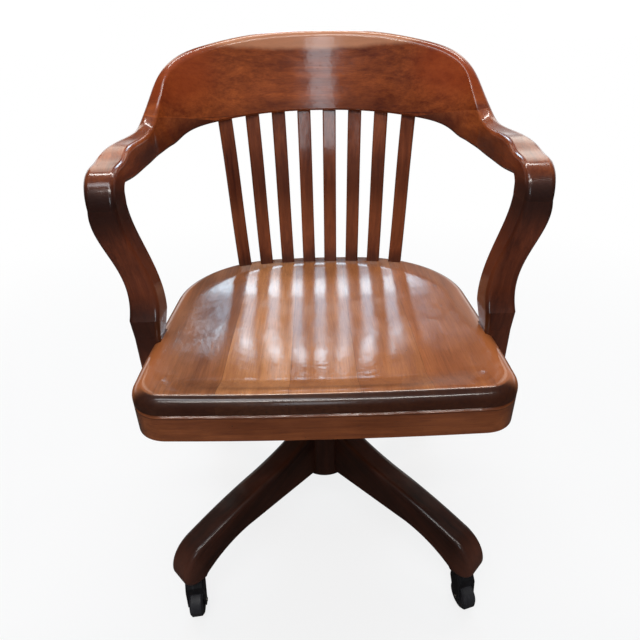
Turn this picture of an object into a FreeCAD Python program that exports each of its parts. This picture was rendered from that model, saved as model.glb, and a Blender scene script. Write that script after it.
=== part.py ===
import FreeCAD, Part
import math
import os
import Sketcher

# Wooden bankers swivel chair: bow back with bent slats, saddle seat on a tilting iron,
# height screw and four-legged base on casters.
# Origin on the floor under the swivel axis, +Z up, the sitter faces -Y. Millimetres.

Vector = FreeCAD.Vector
doc = FreeCAD.newDocument("swivel_chair")
sheet = doc.addObject("Spreadsheet::Sheet", "sizes")


class Size:
    """A length that knows both its number and the sheet expression that gives it."""

    def __init__(self, value, text):
        self.value = float(value)
        self.text = text

    def _join(self, other, sign, value, flipped=False):
        left, right = self.text, text_of(other)
        if flipped:
            left, right = right, left
        return Size(value, f"({left} {sign} {right})")

    def __add__(self, other):
        return self._join(other, "+", self.value + number(other))

    def __radd__(self, other):
        return self._join(other, "+", number(other) + self.value, True)

    def __sub__(self, other):
        return self._join(other, "-", self.value - number(other))

    def __rsub__(self, other):
        return self._join(other, "-", number(other) - self.value, True)

    def __mul__(self, other):
        return self._join(other, "*", self.value * number(other))

    def __rmul__(self, other):
        return self._join(other, "*", number(other) * self.value, True)

    def __truediv__(self, other):
        return self._join(other, "/", self.value / number(other))

    def __neg__(self):
        return Size(-self.value, f"(0 - {self.text})")


def number(amount):
    return amount.value if isinstance(amount, Size) else float(amount)


def text_of(amount):
    return amount.text if isinstance(amount, Size) else repr(float(amount))


class Dimensions:
    """The driving dimensions, one attribute for each named cell of the sheet."""


dim = Dimensions()
DRIVING = (
    # Seat: outline, thickness and the scooped saddle
    ("seat_width", 480), ("seat_front", 262), ("seat_front_bow", 4), ("seat_front_corner", 44),
    ("seat_rear", 192), ("seat_rear_corner", 170), ("seat_rear_bow", 834), ("seat_top", 457),
    ("seat_thickness", 28), ("seat_edge_round", 17), ("groove_edge", 2), ("saddle_depth", 11),
    ("thigh_depth", 4), ("waterfall_drop", 9), ("saddle_rear", 153), ("saddle_middle", 8),
    ("board_joint_1", -131), ("board_joint_2", -44), ("board_joint_3", 42), ("board_joint_4", 130),
    # Skirt under the seat
    ("skirt_height", 40), ("skirt_thick", 20), ("skirt_inset", 0),
    ("front_rail_end", 200), ("rear_rail_start", 58),
    # Posts that carry the arms
    ("post_front", 134), ("post_deep", 45), ("post_wide", 36), ("post_clear", 6),
    ("post_round", 6), ("foot_let_in", 14), ("foot_proud", 22), ("post_foot_deep", 38),
    ("arm_joint_rise", 184),
    # Bow: crest rail and arms
    ("crest_angle", 38), ("shoulder_reach", 34), ("crest_front", 197), ("crest_rise", 263),
    ("crest_thick", 30), ("glue_line_rise", 254), ("glue_inset", 84), ("glue_slope", 9),
    ("arm_clear", 7), ("knuckle_inner_round", 14),
    # Back slats
    ("slat_wide", 23), ("slat_thick", 11), ("slat_chamfer", 2), ("slat_gap_low", 40.4),
    ("slat_gap_high", 44.6), ("slat_row", 163), ("slat_row_radius", 730), ("slat_tenon", 12),
    ("slat_bow", 800),
    # Seat battens and the iron that tilts
    ("batten_thick", 20), ("batten_wide", 60), ("batten_long", 330), ("batten_place", 78),
    ("iron_plate", 6), ("iron_arm_wide", 34), ("iron_pad_reach", 66), ("pad_corner", 7),
    ("ear_thick", 7), ("bolt_ear_thick", 5), ("ear_gap", 54), ("ear_radius", 13),
    ("pivot_drop", 25), ("pivot_pin", 12), ("bolt_place", 78), ("running_gap", 0.05),
    ("face_gap", 0.3), ("tilt_stop_place", 62), ("tilt_range", 16),
    # Tension spring, bolt and knob
    ("bolt_shank", 10), ("bolt_eye", 8), ("eye_pin", 6), ("eye_wide", 12), ("spring_long", 60),
    ("spring_wire", 5), ("spring_mean", 27), ("spring_coils", 5), ("spring_place", 76),
    ("washer_thick", 3), ("washer_wide", 38), ("knob_wide", 44), ("knob_high", 20),
    # Yoke and height screw
    ("yoke_arm_thick", 12), ("yoke_arm_wide", 40), ("yoke_arm_drop", 20), ("socket_wide", 44),
    ("socket_long", 59), ("screw_seat", 52), ("heel_place", 62), ("screw_wide", 25),
    ("screw_bottom", 140), ("nut_high", 24), ("wheel_wide", 100), ("wheel_thick", 11),
    ("finger_notch", 9), ("thrust_thick", 3), ("thrust_wide", 60), ("flange_thick", 6),
    ("flange_wide", 74), ("sleeve_wall", 5),
    # Base: turned hub and four legs
    ("hub_bottom", 105), ("hub_top", 222), ("hub_wide", 107), ("hub_flat", 48),
    ("leg_thick", 44), ("leg_reach", 330), ("leg_edge_round", 9), ("leg_root_top", 210),
    ("leg_root_bottom", 114), ("toe_bottom", 72), ("toe_inner", 289), ("toe_outer", 310),
    # Casters
    ("caster_reach", 306), ("stem_wide", 9.5), ("stem_long", 36), ("socket_wall", 2.2),
    ("wheel_size", 45), ("wheel_tread", 21), ("caster_trail", 13), ("fork_thick", 3),
    ("fork_gap", 1), ("caster_axle", 6),
)
for row, (name, value) in enumerate(DRIVING, 1):
    sheet.set(f"A{row}", name.replace("_", " "))
    sheet.set(f"B{row}", str(value))
    sheet.setAlias(f"B{row}", name)
    setattr(dim, name, Size(value, f"sizes.{name}"))
doc.recompute()

made = {}


def vector(point):
    return Vector(number(point[0]), number(point[1]), 0)


def bind(thing, prop, amount):
    """Give one property of an object its size, tied to the sheet where it comes from there."""
    if isinstance(amount, Size):
        thing.setExpression(prop, amount.text)
    else:
        setattr(thing, prop, amount)


def constrain(sketch, *parts):
    """Add one driving constraint whose last entry is a size."""
    amount = parts[-1]
    index = sketch.addConstraint(Sketcher.Constraint(*parts[:-1], number(amount)))
    if isinstance(amount, Size):
        sketch.setExpression(f"Constraints[{index}]", amount.text)


def pin_point(sketch, geometry, position, point):
    constrain(sketch, "DistanceX", -1, 1, geometry, position, point[0])
    constrain(sketch, "DistanceY", -1, 1, geometry, position, point[1])


def outline(sketch, start, *steps, closed=True):
    """Outline from start. A step is (x, y) for a line, or (x, y, radius, turn) for an arc."""
    runs = []
    here = start
    for step in steps:
        first, last = vector(here), vector(step)
        if len(step) == 2:
            geometry = sketch.addGeometry(Part.LineSegment(first, last), False)
            runs.append((geometry, 1, 2))
        else:
            radius, turn = number(step[2]), step[3]
            chord = last - first
            left = Vector(-chord.y, chord.x, 0).normalize()
            rise = math.sqrt(max(radius ** 2 - (chord.Length / 2) ** 2, 0.0))
            centre = (first + last) * 0.5 + left * (rise * turn)
            begin, end = (first, last) if turn > 0 else (last, first)
            angles = [math.atan2(p.y - centre.y, p.x - centre.x) for p in (begin, end)]
            circle = Part.Circle(centre, Vector(0, 0, 1), radius)
            geometry = sketch.addGeometry(Part.ArcOfCircle(circle, *angles), False)
            runs.append((geometry, 1, 2) if turn > 0 else (geometry, 2, 1))
            constrain(sketch, "Radius", geometry, step[2])
        here = step
    if not closed:
        pin_point(sketch, runs[0][0], runs[0][1], start)
    for index, (geometry, _, last) in enumerate(runs if closed else runs[:-1]):
        following = runs[(index + 1) % len(runs)]
        sketch.addConstraint(
            Sketcher.Constraint("Coincident", geometry, last, following[0], following[1])
        )
    for (geometry, _, last), step in zip(runs, steps):
        pin_point(sketch, geometry, last, step)


def circle_in(sketch, centre, radius):
    geometry = sketch.addGeometry(Part.Circle(vector(centre), Vector(0, 0, 1), number(radius)), False)
    pin_point(sketch, geometry, 3, centre)
    constrain(sketch, "Radius", geometry, radius)


def rectangle(sketch, low, high):
    (x0, y0), (x1, y1) = low, high
    outline(sketch, (x0, y0), (x1, y0), (x1, y1), (x0, y1), (x0, y0))


def chamfered_rectangle(sketch, low, high, cut):
    (x0, y0), (x1, y1) = low, high
    outline(
        sketch, (x0 + cut, y0), (x1 - cut, y0), (x1, y0 + cut), (x1, y1 - cut), (x1 - cut, y1),
        (x0 + cut, y1), (x0, y1 - cut), (x0, y0 + cut), (x0 + cut, y0),
    )


def rounded_rectangle(sketch, low, high, radius):
    (x0, y0), (x1, y1) = low, high
    outline(
        sketch, (x0 + radius, y0), (x1 - radius, y0), (x1, y0 + radius, radius, 1),
        (x1, y1 - radius), (x1 - radius, y1, radius, 1), (x0 + radius, y1),
        (x0, y1 - radius, radius, 1), (x0, y0 + radius), (x0 + radius, y0, radius, 1),
    )


def new_body(name, finished=True):
    """Empty body; a blank that is cut further is not listed among the finished pieces."""
    body = doc.addObject("PartDesign::Body", name)
    body.Label = name
    if finished:
        made[name] = body
    return body


def new_sketch(body, role="XY_Plane", height=0):
    """Sketch on one of the body's own planes, moved along the plane's normal by height."""
    sketch = body.newObject("Sketcher::SketchObject", body.Name + "_sketch")
    plane = next(p for p in body.Origin.OriginFeatures if p.Role == role)
    sketch.AttachmentSupport = [(plane, "")]
    sketch.MapMode = "FlatFace"
    sketch.AttachmentOffset = FreeCAD.Placement(Vector(0, 0, number(height)), FreeCAD.Rotation())
    if isinstance(height, Size):
        sketch.setExpression("AttachmentOffset.Base.z", height.text)
    return sketch


def feature(body, kind, profile, length=None, midplane=False, reverse=False):
    """Pad, Pocket and the like, from a finished sketch."""
    made_feature = body.newObject("PartDesign::" + kind, body.Name + "_" + kind.lower())
    made_feature.Profile = profile
    if length is not None:
        bind(made_feature, "Length", length)
        made_feature.Midplane = midplane
        made_feature.Reversed = reverse
    profile.Visibility = False
    doc.recompute()
    return made_feature


def cut_all(body, profile, midplane=True):
    """Pocket right through the body, both ways from the sketch."""
    pocket = body.newObject("PartDesign::Pocket", body.Name + "_pocket")
    pocket.Profile = profile
    pocket.Type = 1
    pocket.Midplane = midplane
    doc.recompute()
    return pocket


def turned(body, *corners, kind="Revolution"):
    """Solid of revolution about the body's Z axis, from (radius, height) corners."""
    sketch = new_sketch(body, "XZ_Plane")
    outline(sketch, corners[0], *corners[1:], corners[0])
    revolved = body.newObject("PartDesign::" + kind, body.Name + "_turned")
    revolved.Profile = sketch
    revolved.ReferenceAxis = (sketch, ["V_Axis"])
    revolved.Angle = 360
    doc.recompute()
    return revolved


def ease_edges(body, chosen, amount, kind="Fillet"):
    """Round or chamfer the edges of the body's tip that the test picks."""
    tip = body.Tip
    names = [f"Edge{i}" for i, edge in enumerate(tip.Shape.Edges, 1) if chosen(edge)]
    eased = body.newObject("PartDesign::" + kind, body.Name + "_" + kind.lower())
    eased.Base = (tip, names)
    bind(eased, "Radius" if kind == "Fillet" else "Size", amount)
    doc.recompute()
    return eased


def polar(body, pattern_of, count):
    axis = next(a for a in body.Origin.OriginFeatures if a.Role == "Z_Axis")
    pattern = body.newObject("PartDesign::PolarPattern", body.Name + "_pattern")
    pattern.Originals = [pattern_of]
    pattern.Axis = (axis, [""])
    pattern.Angle = 360
    pattern.Occurrences = count
    body.Tip = pattern
    doc.recompute()
    return pattern


def on_level(edge, height):
    """Whether an edge lies flat at one height."""
    box = edge.BoundBox
    return abs(box.ZMin - number(height)) < 0.01 and abs(box.ZMax - number(height)) < 0.01


def combine(kind, name, base, tool, finished=True):
    """Cut or Common of two pieces."""
    result = doc.addObject("Part::" + kind, name)
    result.Label = name
    result.Base, result.Tool = base, tool
    if finished:
        made[name] = result
    doc.recompute()
    return result


def compound(name, members):
    group = doc.addObject("Part::Compound", name)
    group.Links = members
    doc.recompute()
    return group


def box_between(name, low, high):
    """Part box whose corners are sizes."""
    box = doc.addObject("Part::Box", name)
    for prop, a, b in zip(("Length", "Width", "Height"), low, high):
        bind(box, prop, b - a)
    for axis, a in zip("xyz", low):
        if isinstance(a, Size):
            box.setExpression(f"Placement.Base.{axis}", a.text)
        else:
            box.Placement.Base = box.Placement.Base + Vector(*[a if c == axis else 0 for c in "xyz"])
    return box


def plain_feature(name, shape):
    """Piece that no single feature can make, such as a group of alike pieces."""
    made_feature = doc.addObject("Part::Feature", name)
    made_feature.Label = name
    made_feature.Shape = shape
    made_feature.Placement = FreeCAD.Placement()
    made[name] = made_feature
    return made_feature


# Levels and places that follow from the driving dimensions
seat_half = dim.seat_width / 2
seat_under = dim.seat_top - dim.seat_thickness
skirt_bottom = seat_under - dim.skirt_height
batten_bottom = seat_under - dim.batten_thick
plate_bottom = batten_bottom - dim.iron_plate
pivot_z = plate_bottom - dim.pivot_drop
yoke_arm_top = pivot_z - dim.yoke_arm_drop
socket_bottom = yoke_arm_top - dim.yoke_arm_thick - dim.socket_long
stem_bore = dim.stem_wide / 2 + dim.running_gap
arm_joint = dim.seat_top + dim.arm_joint_rise
crest_bottom = dim.seat_top + dim.crest_rise
glue_line = dim.seat_top + dim.glue_line_rise
# Across the chair, posts, arms and bow follow the seat's sides
post_inner = seat_half + dim.post_clear
foot_inner = seat_half - dim.foot_let_in
foot_outer = seat_half + dim.foot_proud
arm_inner = seat_half + dim.arm_clear
glue_start = arm_inner - dim.glue_inset
bow_radius = (arm_inner - dim.shoulder_reach).value / math.sin(math.radians(dim.crest_angle.value))


# Seat: one glued-up blank, scooped, then parted at the glue joints
def seat_outline(sketch, inset=0):
    """Plan of the seat: bowed front, straight sides, broad D-shaped rear."""
    side = seat_half - inset
    front_corner = dim.seat_front_corner - inset
    rear_corner = dim.seat_rear_corner - inset
    rear_bow = dim.seat_rear_bow - inset
    corner_x = side - front_corner
    front_edge = -(dim.seat_front - inset - dim.seat_front_bow)
    front_bow = (corner_x.value ** 2 + dim.seat_front_bow.value ** 2) / (2 * dim.seat_front_bow.value)
    # The rear bow and the corner arc are tangent where the line of their centres meets them
    bow_centre = (dim.seat_rear - dim.seat_rear_bow).value
    centre_x = (seat_half - dim.seat_rear_corner).value
    reach = (dim.seat_rear_bow - dim.seat_rear_corner).value
    centre_y = bow_centre + math.sqrt(reach ** 2 - centre_x ** 2)
    lean = centre_x / reach
    touch = (rear_bow.value * lean, bow_centre + rear_bow.value * math.sqrt(1 - lean ** 2))
    outline(
        sketch, (-corner_x, front_edge), (corner_x, front_edge, front_bow, 1),
        (side, front_edge + front_corner, front_corner, 1), (side, centre_y),
        (touch[0], touch[1], rear_corner, 1), (-touch[0], touch[1], rear_bow, 1),
        (-side, centre_y, rear_corner, 1), (-side, front_edge + front_corner),
        (-corner_x, front_edge, front_corner, 1),
    )


def saddle_scoop():
    """Everything above the sitting surface, as one solid to cut from the blank."""
    half, top = seat_half.value - 5, dim.seat_top.value
    rear, deep = dim.saddle_rear.value, dim.saddle_depth.value
    row_bow, middle = 2 * dim.slat_row_radius.value, dim.saddle_middle.value
    columns, rows = 17, 19
    grid = []
    for i in range(columns):
        x = (2 * i / (columns - 1) - 1) * (half + 25)
        across = x / half
        line = []
        for j in range(rows):
            y = -dim.seat_front.value - 20 + j / (rows - 1) * (dim.seat_front.value + rear + 60)
            edge = rear - x ** 2 / row_bow
            back = max((y - middle) / (edge - middle), 0) ** 3.6
            front = max((middle - 28 - y) / (dim.seat_front.value - 20), 0)
            bowl = deep * (1 - abs(across) ** 3.4) * (1 - back) * (1 - 0.45 * min(front, 1) ** 2)
            thigh = dim.thigh_depth.value * math.sin(math.pi * min(abs(across), 1)) ** 2
            fade = min(max((middle + 40 - y) / 200, 0), 1)
            lip = max((-y - dim.seat_front.value) / 100 + 1, 0)
            fall = dim.waterfall_drop.value * lip ** 2
            line.append(Vector(x, y, top - bowl - thigh * fade - fall))
        grid.append(line)
    surface = Part.BSplineSurface()
    surface.interpolate(grid)
    return surface.toShape().extrude(Vector(0, 0, 60))


def make_seat():
    blank = new_body("seat_blank", finished=False)
    plan = new_sketch(blank, height=seat_under)
    seat_outline(plan)
    feature(blank, "Pad", plan, dim.seat_thickness)
    ease_edges(blank, lambda e: on_level(e, dim.seat_top), dim.seat_edge_round)
    ease_edges(blank, lambda e: on_level(e, seat_under), dim.groove_edge, "Chamfer")
    scoop = doc.addObject("Part::Feature", "saddle_scoop")
    scoop.Shape = saddle_scoop()
    return combine("Cut", "scooped_seat", blank, scoop, finished=False)


def post_notches():
    """Blocks that let the feet of the arm posts into the seat edge."""
    blocks = []
    for side in (-1, 1):
        inner, outer = foot_inner * side, (seat_half + 10) * side
        low_x, high_x = (inner, outer) if side > 0 else (outer, inner)
        front = -dim.post_front + (dim.post_deep - dim.post_foot_deep) / 2
        blocks.append(
            box_between(
                f"notch_{'right' if side > 0 else 'left'}",
                (low_x, front, skirt_bottom - 5), (high_x, front + dim.post_foot_deep, dim.seat_top + 5),
            )
        )
    return compound("post_notches", blocks)


# Back slats: steam-bent strips, fanned out between the seat and the crest rail
def bow_point(angle, offset):
    """Plan point of the crest arc; angle from the centre line, offset outward from its inner face."""
    radius = bow_radius + offset
    centre_y = dim.crest_front.value - bow_radius
    return Vector(radius * math.sin(angle), centre_y + radius * math.cos(angle), 0)


def crest_under(across):
    """Height of the crest rail's arched underside, at a distance from the centre line."""
    fall = dim.crest_rise.value - dim.glue_line_rise.value
    return crest_bottom.value - fall * (across / glue_start.value) ** 2


def make_slat(index):
    place = index - 3.5
    low_x = place * dim.slat_gap_low.value
    low_y = dim.slat_row.value - low_x ** 2 / (2 * dim.slat_row_radius.value)
    low = Vector(low_x, low_y, dim.seat_top.value)
    middle = dim.crest_thick.value / 2
    angle = math.asin(place * dim.slat_gap_high.value / (bow_radius + middle))
    high = bow_point(angle, middle)
    high.z = crest_under(abs(high.x))
    chord = high - low
    length, tenon = chord.Length, dim.slat_tenon.value
    body = new_body(f"back_slat_{index + 1}")
    # The bend is an S of two tangent arcs that runs on into the tenons
    path = new_sketch(body, "YZ_Plane")
    outline(
        path, (0, -tenon), (0, length / 2, dim.slat_bow, 1), (0, length + tenon, dim.slat_bow, -1),
        closed=False,
    )
    profile = new_sketch(body, height=-tenon)
    half, thick = dim.slat_wide / 2, dim.slat_thick / 2
    chamfered_rectangle(profile, (-half, -thick), (half, thick), dim.slat_chamfer)
    pipe = feature(body, "AdditivePipe", profile)
    pipe.Spine = (path, [])
    path.Visibility = False
    doc.recompute()
    # Each slat faces a point a little in front of the crest's centre
    turn = 0.7 * angle
    across = Vector(math.cos(turn), -math.sin(turn), 0)
    turn_to = FreeCAD.Rotation(across, Vector(), chord, "ZXY")
    body.Placement = FreeCAD.Placement(low, turn_to)
    return body


# Bow: one lofted sweep of crest rail, shoulders, arms and knuckles, parted at its glue joints
def eased_section(origin, outward, upward, corners, eases):
    """Closed wire of four sides: chamfers at the two lower corners, arcs at the two upper ones."""
    points = [origin + outward * u + upward * v for u, v in corners]
    edges = []
    last = first = None
    for i, (point, ease) in enumerate(zip(points, eases)):
        back = (points[i - 1] - point).normalize()
        ahead = (points[(i + 1) % 4] - point).normalize()
        half_angle = back.getAngle(ahead) / 2
        reach = ease / math.tan(half_angle) if i > 1 else ease
        start, end = point + back * reach, point + ahead * reach
        if last is None:
            first = start
        else:
            edges.append(Part.makeLine(last, start))
        if i > 1:
            middle = (back + ahead).normalize()
            centre = point + middle * (ease / math.sin(half_angle))
            edges.append(Part.Arc(start, centre - middle * ease, end).toShape())
        else:
            edges.append(Part.makeLine(start, end))
        last = end
    edges.append(Part.makeLine(last, first))
    return Part.Wire(edges)


# Each station of the bow: angle, rise above the seat of its underside, inner top and outer
# top, inner and outer top offsets, outer underside offset
CREST_STATIONS = (
    (0, 263, 382.5, 383, 17, 41, 30),
    (15, 260.5, 378.5, 379, 17, 41, 30),
    (28, 252.5, 363, 365, 17, 41, 30),
    (dim.crest_angle.value, 237, 337, 341, 15, 40, 31),
)
SHOULDER_STATIONS = (
    (48, 227, 319, 323, 12, 38, 31),
    (57, 222, 293, 300, 9, 37, 31),
    (67, 217, 270, 277, 6, 35, 30),
    (78, 213, 254, 262, 4, 32, 29),
)
# Each station of the arm: place along Y, rise above the seat of its underside, inner top
# and outer top, width; the first lies where the shoulder's turn ends
ARM_STATIONS = (
    (55, 210, 249, 255, 30), (5, 207, 246, 248, 37), (-52, 205, 240, 238, 43),
)


def bow_sections(side):
    """Sections of one half of the bow, from the shoulder to the foot of the knuckle."""
    sections = []
    up = Vector(0, 0, 1)
    turn_angle = math.radians(CREST_STATIONS[-1][0])
    radius = dim.shoulder_reach.value / (1 - math.sin(turn_angle))
    hinge = bow_point(turn_angle, 0) - Vector(math.sin(turn_angle), math.cos(turn_angle), 0) * radius
    hinge.z = dim.seat_top.value
    for angle, under, inner_top, outer_top, inner, outer, outer_under in SHOULDER_STATIONS:
        angle = math.radians(angle)
        outward = Vector(math.sin(angle), math.cos(angle), 0)
        corners = ((0, under), (outer_under, under), (outer, outer_top), (inner, inner_top))
        sections.append((hinge + outward * radius, outward, up, corners, (4, 4, 11, 8)))
    for index, (place, under, inner_top, outer_top, width) in enumerate(ARM_STATIONS):
        place = hinge.y if index == 0 else place
        corners = ((0, under), (width - 2, under), (width, outer_top), (1, inner_top))
        origin = Vector(arm_inner.value, place, dim.seat_top.value)
        sections.append((origin, Vector(1, 0, 0), up, corners, (4, 5, 11, 6)))
    # The knuckle turns about an axis below the arm and behind the post
    back = -dim.post_front + dim.post_deep
    small = dim.knuckle_inner_round
    _, under, _, top, knuckle_wide = ARM_STATIONS[-1]
    axis = Vector(arm_inner.value, (back + small).value, (dim.seat_top + under - small).value)
    high = top - 6 - under + small.value
    deep = (dim.post_deep + small).value
    for angle in (0, 30, 60, 90):
        bend = math.radians(angle)
        reach = high * deep / math.hypot(deep * math.cos(bend), high * math.sin(bend))
        part_way = angle / 90
        width = knuckle_wide + (dim.post_wide.value - knuckle_wide) * part_way
        shift = (post_inner - arm_inner).value * part_way
        upward = Vector(0, -math.sin(bend), math.cos(bend))
        corners = (
            (shift, small.value), (shift + width, small.value), (shift + width, reach), (shift, reach)
        )
        round_top = 11 + (dim.post_round.value - 11) * part_way
        radii = (5, 5, round_top, dim.post_round.value)
        sections.append((axis, Vector(1, 0, 0), upward, corners, radii))
    axis, outward, upward, corners, _ = sections[-1]
    joint = Vector(axis.x, axis.y, arm_joint.value)
    sections.append((joint, outward, upward, corners, (dim.post_round.value,) * 4))
    return [mirrored(section, side) for section in sections]


def mirrored(section, side):
    origin, outward, upward, corners, radii = section
    flip = lambda v: Vector(v.x * side, v.y, v.z)
    return eased_section(flip(origin), flip(outward), flip(upward), corners, radii)


def crest_section(station, side):
    angle, under, inner_top, outer_top, inner, outer, outer_under = station
    angle = math.radians(angle)
    outward = Vector(math.sin(angle), math.cos(angle), 0)
    corners = ((0, under), (outer_under, under), (outer, outer_top), (inner, inner_top))
    origin = bow_point(angle, 0)
    origin.z = dim.seat_top.value
    return mirrored((origin, outward, Vector(0, 0, 1), corners, (3, 3, 11, 11)), side)


def bow_solid():
    left = list(reversed(bow_sections(-1))) + [crest_section(s, -1) for s in reversed(CREST_STATIONS)]
    right = [crest_section(s, 1) for s in CREST_STATIONS[1:]] + bow_sections(1)
    return Part.makeLoft(left + right, True, False)


def post_section(sketch, low, high, ease):
    """Level section of a post: arcs at its two front corners, chamfers at the back."""
    (x0, y0), (x1, y1) = low, high
    outline(
        sketch, (x0 + ease, y0), (x1 - ease, y0), (x1, y0 + ease, ease, 1), (x1, y1 - ease),
        (x1 - ease, y1), (x0 + ease, y1), (x0, y1 - ease), (x0, y0 + ease), (x0 + ease, y0, ease, 1),
    )


# Arm posts: lofted up from the foot that is let into the seat to the knuckle of the arm
def make_post(name, side):
    """Post through level sections; each is (height, inner, outer, front, back)."""
    front, back = -dim.post_front, dim.post_deep - dim.post_front
    foot_front = front + (dim.post_deep - dim.post_foot_deep) / 2
    foot_back = foot_front + dim.post_foot_deep
    inner, wide = post_inner, dim.post_wide
    levels = (
        (arm_joint, inner, inner + wide, front, back),
        (arm_joint - 41, inner - 6, inner - 3 + wide, front + 4, back + 3),
        (arm_joint - 86, inner - 18, inner - 16 + wide, front + 11, back + 5),
        (dim.seat_top + 58, inner - 25, foot_outer - 1, front + 9, back + 4),
        (dim.seat_top + 34, inner - 25, foot_outer, front - 1, back + 3),
    )
    knee = levels[-1]
    foot = (
        knee,
        (dim.seat_top + 4, foot_inner, foot_outer, foot_front, foot_back),
        (skirt_bottom, foot_inner, foot_outer, foot_front, foot_back),
    )
    body = new_body(name)
    for run in (levels, foot):
        sections = []
        for height, near, far, low_y, high_y in run:
            sketch = new_sketch(body, height=height)
            low_x, high_x = (near, far) if side > 0 else (-far, -near)
            post_section(sketch, (low_x, low_y), (high_x, high_y), dim.post_round)
            sketch.Visibility = False
            sections.append(sketch)
        loft = body.newObject("PartDesign::AdditiveLoft", name + "_loft")
        loft.Profile = sections[0]
        loft.Sections = sections[1:]
        loft.Ruled = run is foot
        doc.recompute()
    return body


# Skirt: a frame of four rails under the seat edge
def make_skirt():
    frame = new_body("skirt_frame", finished=False)
    plan = new_sketch(frame, height=skirt_bottom)
    seat_outline(plan, dim.skirt_inset)
    feature(frame, "Pad", plan, dim.skirt_height)
    ease_edges(
        frame, lambda e: on_level(e, skirt_bottom) or on_level(e, seat_under), dim.groove_edge, "Chamfer"
    )
    opening = new_sketch(frame, height=skirt_bottom)
    seat_outline(opening, dim.skirt_inset + dim.skirt_thick)
    cut_all(frame, opening)
    return frame


# Iron under the seat: plate with screw pads, two ears for the pivot and two for the bolt
def ear(body, place, middle_y, radius, thick, side):
    sketch = new_sketch(body, "YZ_Plane", place * side)
    outline(
        sketch, (middle_y + radius, pivot_z), (middle_y + radius, plate_bottom + 1),
        (middle_y - radius, plate_bottom + 1), (middle_y - radius, pivot_z),
        (middle_y, pivot_z - radius, radius, 1), (middle_y + radius, pivot_z, radius, 1),
    )
    feature(body, "Pad", sketch, thick, reverse=side < 0)


def make_seat_iron():
    body = new_body("seat_iron")
    bar, web = dim.iron_arm_wide / 2, dim.ear_gap / 2 + dim.ear_thick + 8
    far, near, wide = dim.batten_place + bar, dim.batten_place - bar, dim.iron_pad_reach + 14
    plan = new_sketch(body, height=plate_bottom)
    outline(
        plan, (-wide, -far), (wide, -far), (wide, -near), (web, -near), (web, near), (wide, near),
        (wide, far), (-wide, far), (-wide, near), (-web, near), (-web, -near), (-wide, -near),
        (-wide, -far),
    )
    feature(body, "Pad", plan, dim.iron_plate)
    corner = lambda e: (
        e.BoundBox.ZLength > dim.iron_plate.value - 0.1 and e.BoundBox.XMax ** 2 > (wide.value - 1) ** 2
    )
    ease_edges(body, corner, dim.pad_corner, "Chamfer")
    eye_ear = dim.eye_wide / 2 + dim.face_gap
    for side in (-1, 1):
        ear(body, dim.ear_gap / 2, 0, dim.ear_radius, dim.ear_thick, side)
        ear(body, eye_ear, -dim.bolt_place, dim.bolt_eye, dim.bolt_ear_thick, side)
    # Two feet rest on the yoke arm when the seat is level
    stops = new_sketch(body, height=yoke_arm_top + dim.face_gap)
    rest = dim.yoke_arm_wide / 2
    for side in (-1, 1):
        inner, outer = side * (rest - 11), side * (rest - 1)
        low, high = (inner, outer) if side > 0 else (outer, inner)
        rectangle(stops, (low, -dim.tilt_stop_place), (high, -dim.tilt_stop_place + 12))
    feature(body, "Pad", stops, plate_bottom - yoke_arm_top - dim.face_gap + 1)
    bores = new_sketch(body, "YZ_Plane")
    circle_in(bores, (0, pivot_z), dim.pivot_pin / 2 + dim.running_gap)
    circle_in(bores, (-dim.bolt_place, pivot_z), dim.eye_pin / 2)
    cut_all(body, bores)
    return body


# Yoke on top of the height screw: socket, pivot boss, front arm and rear heel
def make_yoke():
    body = new_body("spindle_yoke")
    tilt = math.radians(dim.tilt_range.value)
    boss, top = dim.ear_radius, yoke_arm_top
    under = top - dim.yoke_arm_thick
    lift = (plate_bottom - pivot_z).value

    def heel_height(y):
        """Where the tilted plate comes to, above a place along Y."""
        return pivot_z.value + (lift - y * math.sin(tilt)) / math.cos(tilt) - dim.face_gap.value

    front = dim.bolt_place + 20
    heel_back, heel_front = dim.heel_place + 6, dim.heel_place - 6
    side_view = new_sketch(body, "YZ_Plane")
    outline(
        side_view, (-front, under), (heel_back, under), (heel_back, heel_height(heel_back.value)),
        (heel_front, heel_height(heel_front.value)), (heel_front, top + 6), (heel_front - 6, top),
        (boss, top), (boss, pivot_z), (0, pivot_z + boss, boss, 1), (-boss, pivot_z, boss, 1),
        (-boss, top), (-front, top), (-front, under),
    )
    feature(body, "Pad", side_view, dim.yoke_arm_wide, midplane=True)
    barrel = new_sketch(body, "YZ_Plane")
    circle_in(barrel, (0, pivot_z), boss)
    feature(body, "Pad", barrel, dim.ear_gap - 2 * dim.face_gap, midplane=True)
    socket = new_sketch(body, height=under + 1)
    circle_in(socket, (0, 0), dim.socket_wide / 2)
    feature(body, "Pad", socket, under + 1 - socket_bottom, reverse=True)
    end_corners = lambda e: (
        e.BoundBox.ZLength > dim.yoke_arm_thick.value - 0.1
        and e.BoundBox.YMax < -front.value + 0.1
    )
    ease_edges(body, end_corners, 10)
    bore = new_sketch(body, "YZ_Plane")
    circle_in(bore, (0, pivot_z), dim.pivot_pin / 2)
    cut_all(body, bore)
    screw_seat = new_sketch(body, height=socket_bottom)
    circle_in(screw_seat, (0, 0), dim.screw_wide / 2)
    feature(body, "Pocket", screw_seat, dim.screw_seat, reverse=True)
    slot = new_sketch(body, height=under)
    half = dim.bolt_shank / 2 + dim.face_gap * 2
    swing = dim.bolt_place.value * (1 - math.cos(tilt)) + 1
    rounded_rectangle(
        slot, (-half, -dim.bolt_place - half), (half, -dim.bolt_place + half + swing), half * 0.98
    )
    cut_all(body, slot)
    return body


def make_height_screw():
    body = new_body("height_screw")
    radius, end = dim.screw_wide / 2, socket_bottom + dim.screw_seat
    turned(
        body, (0, dim.screw_bottom), (radius - 2, dim.screw_bottom),
        (radius, dim.screw_bottom + 2), (radius, end), (0, end),
    )
    return body


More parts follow.
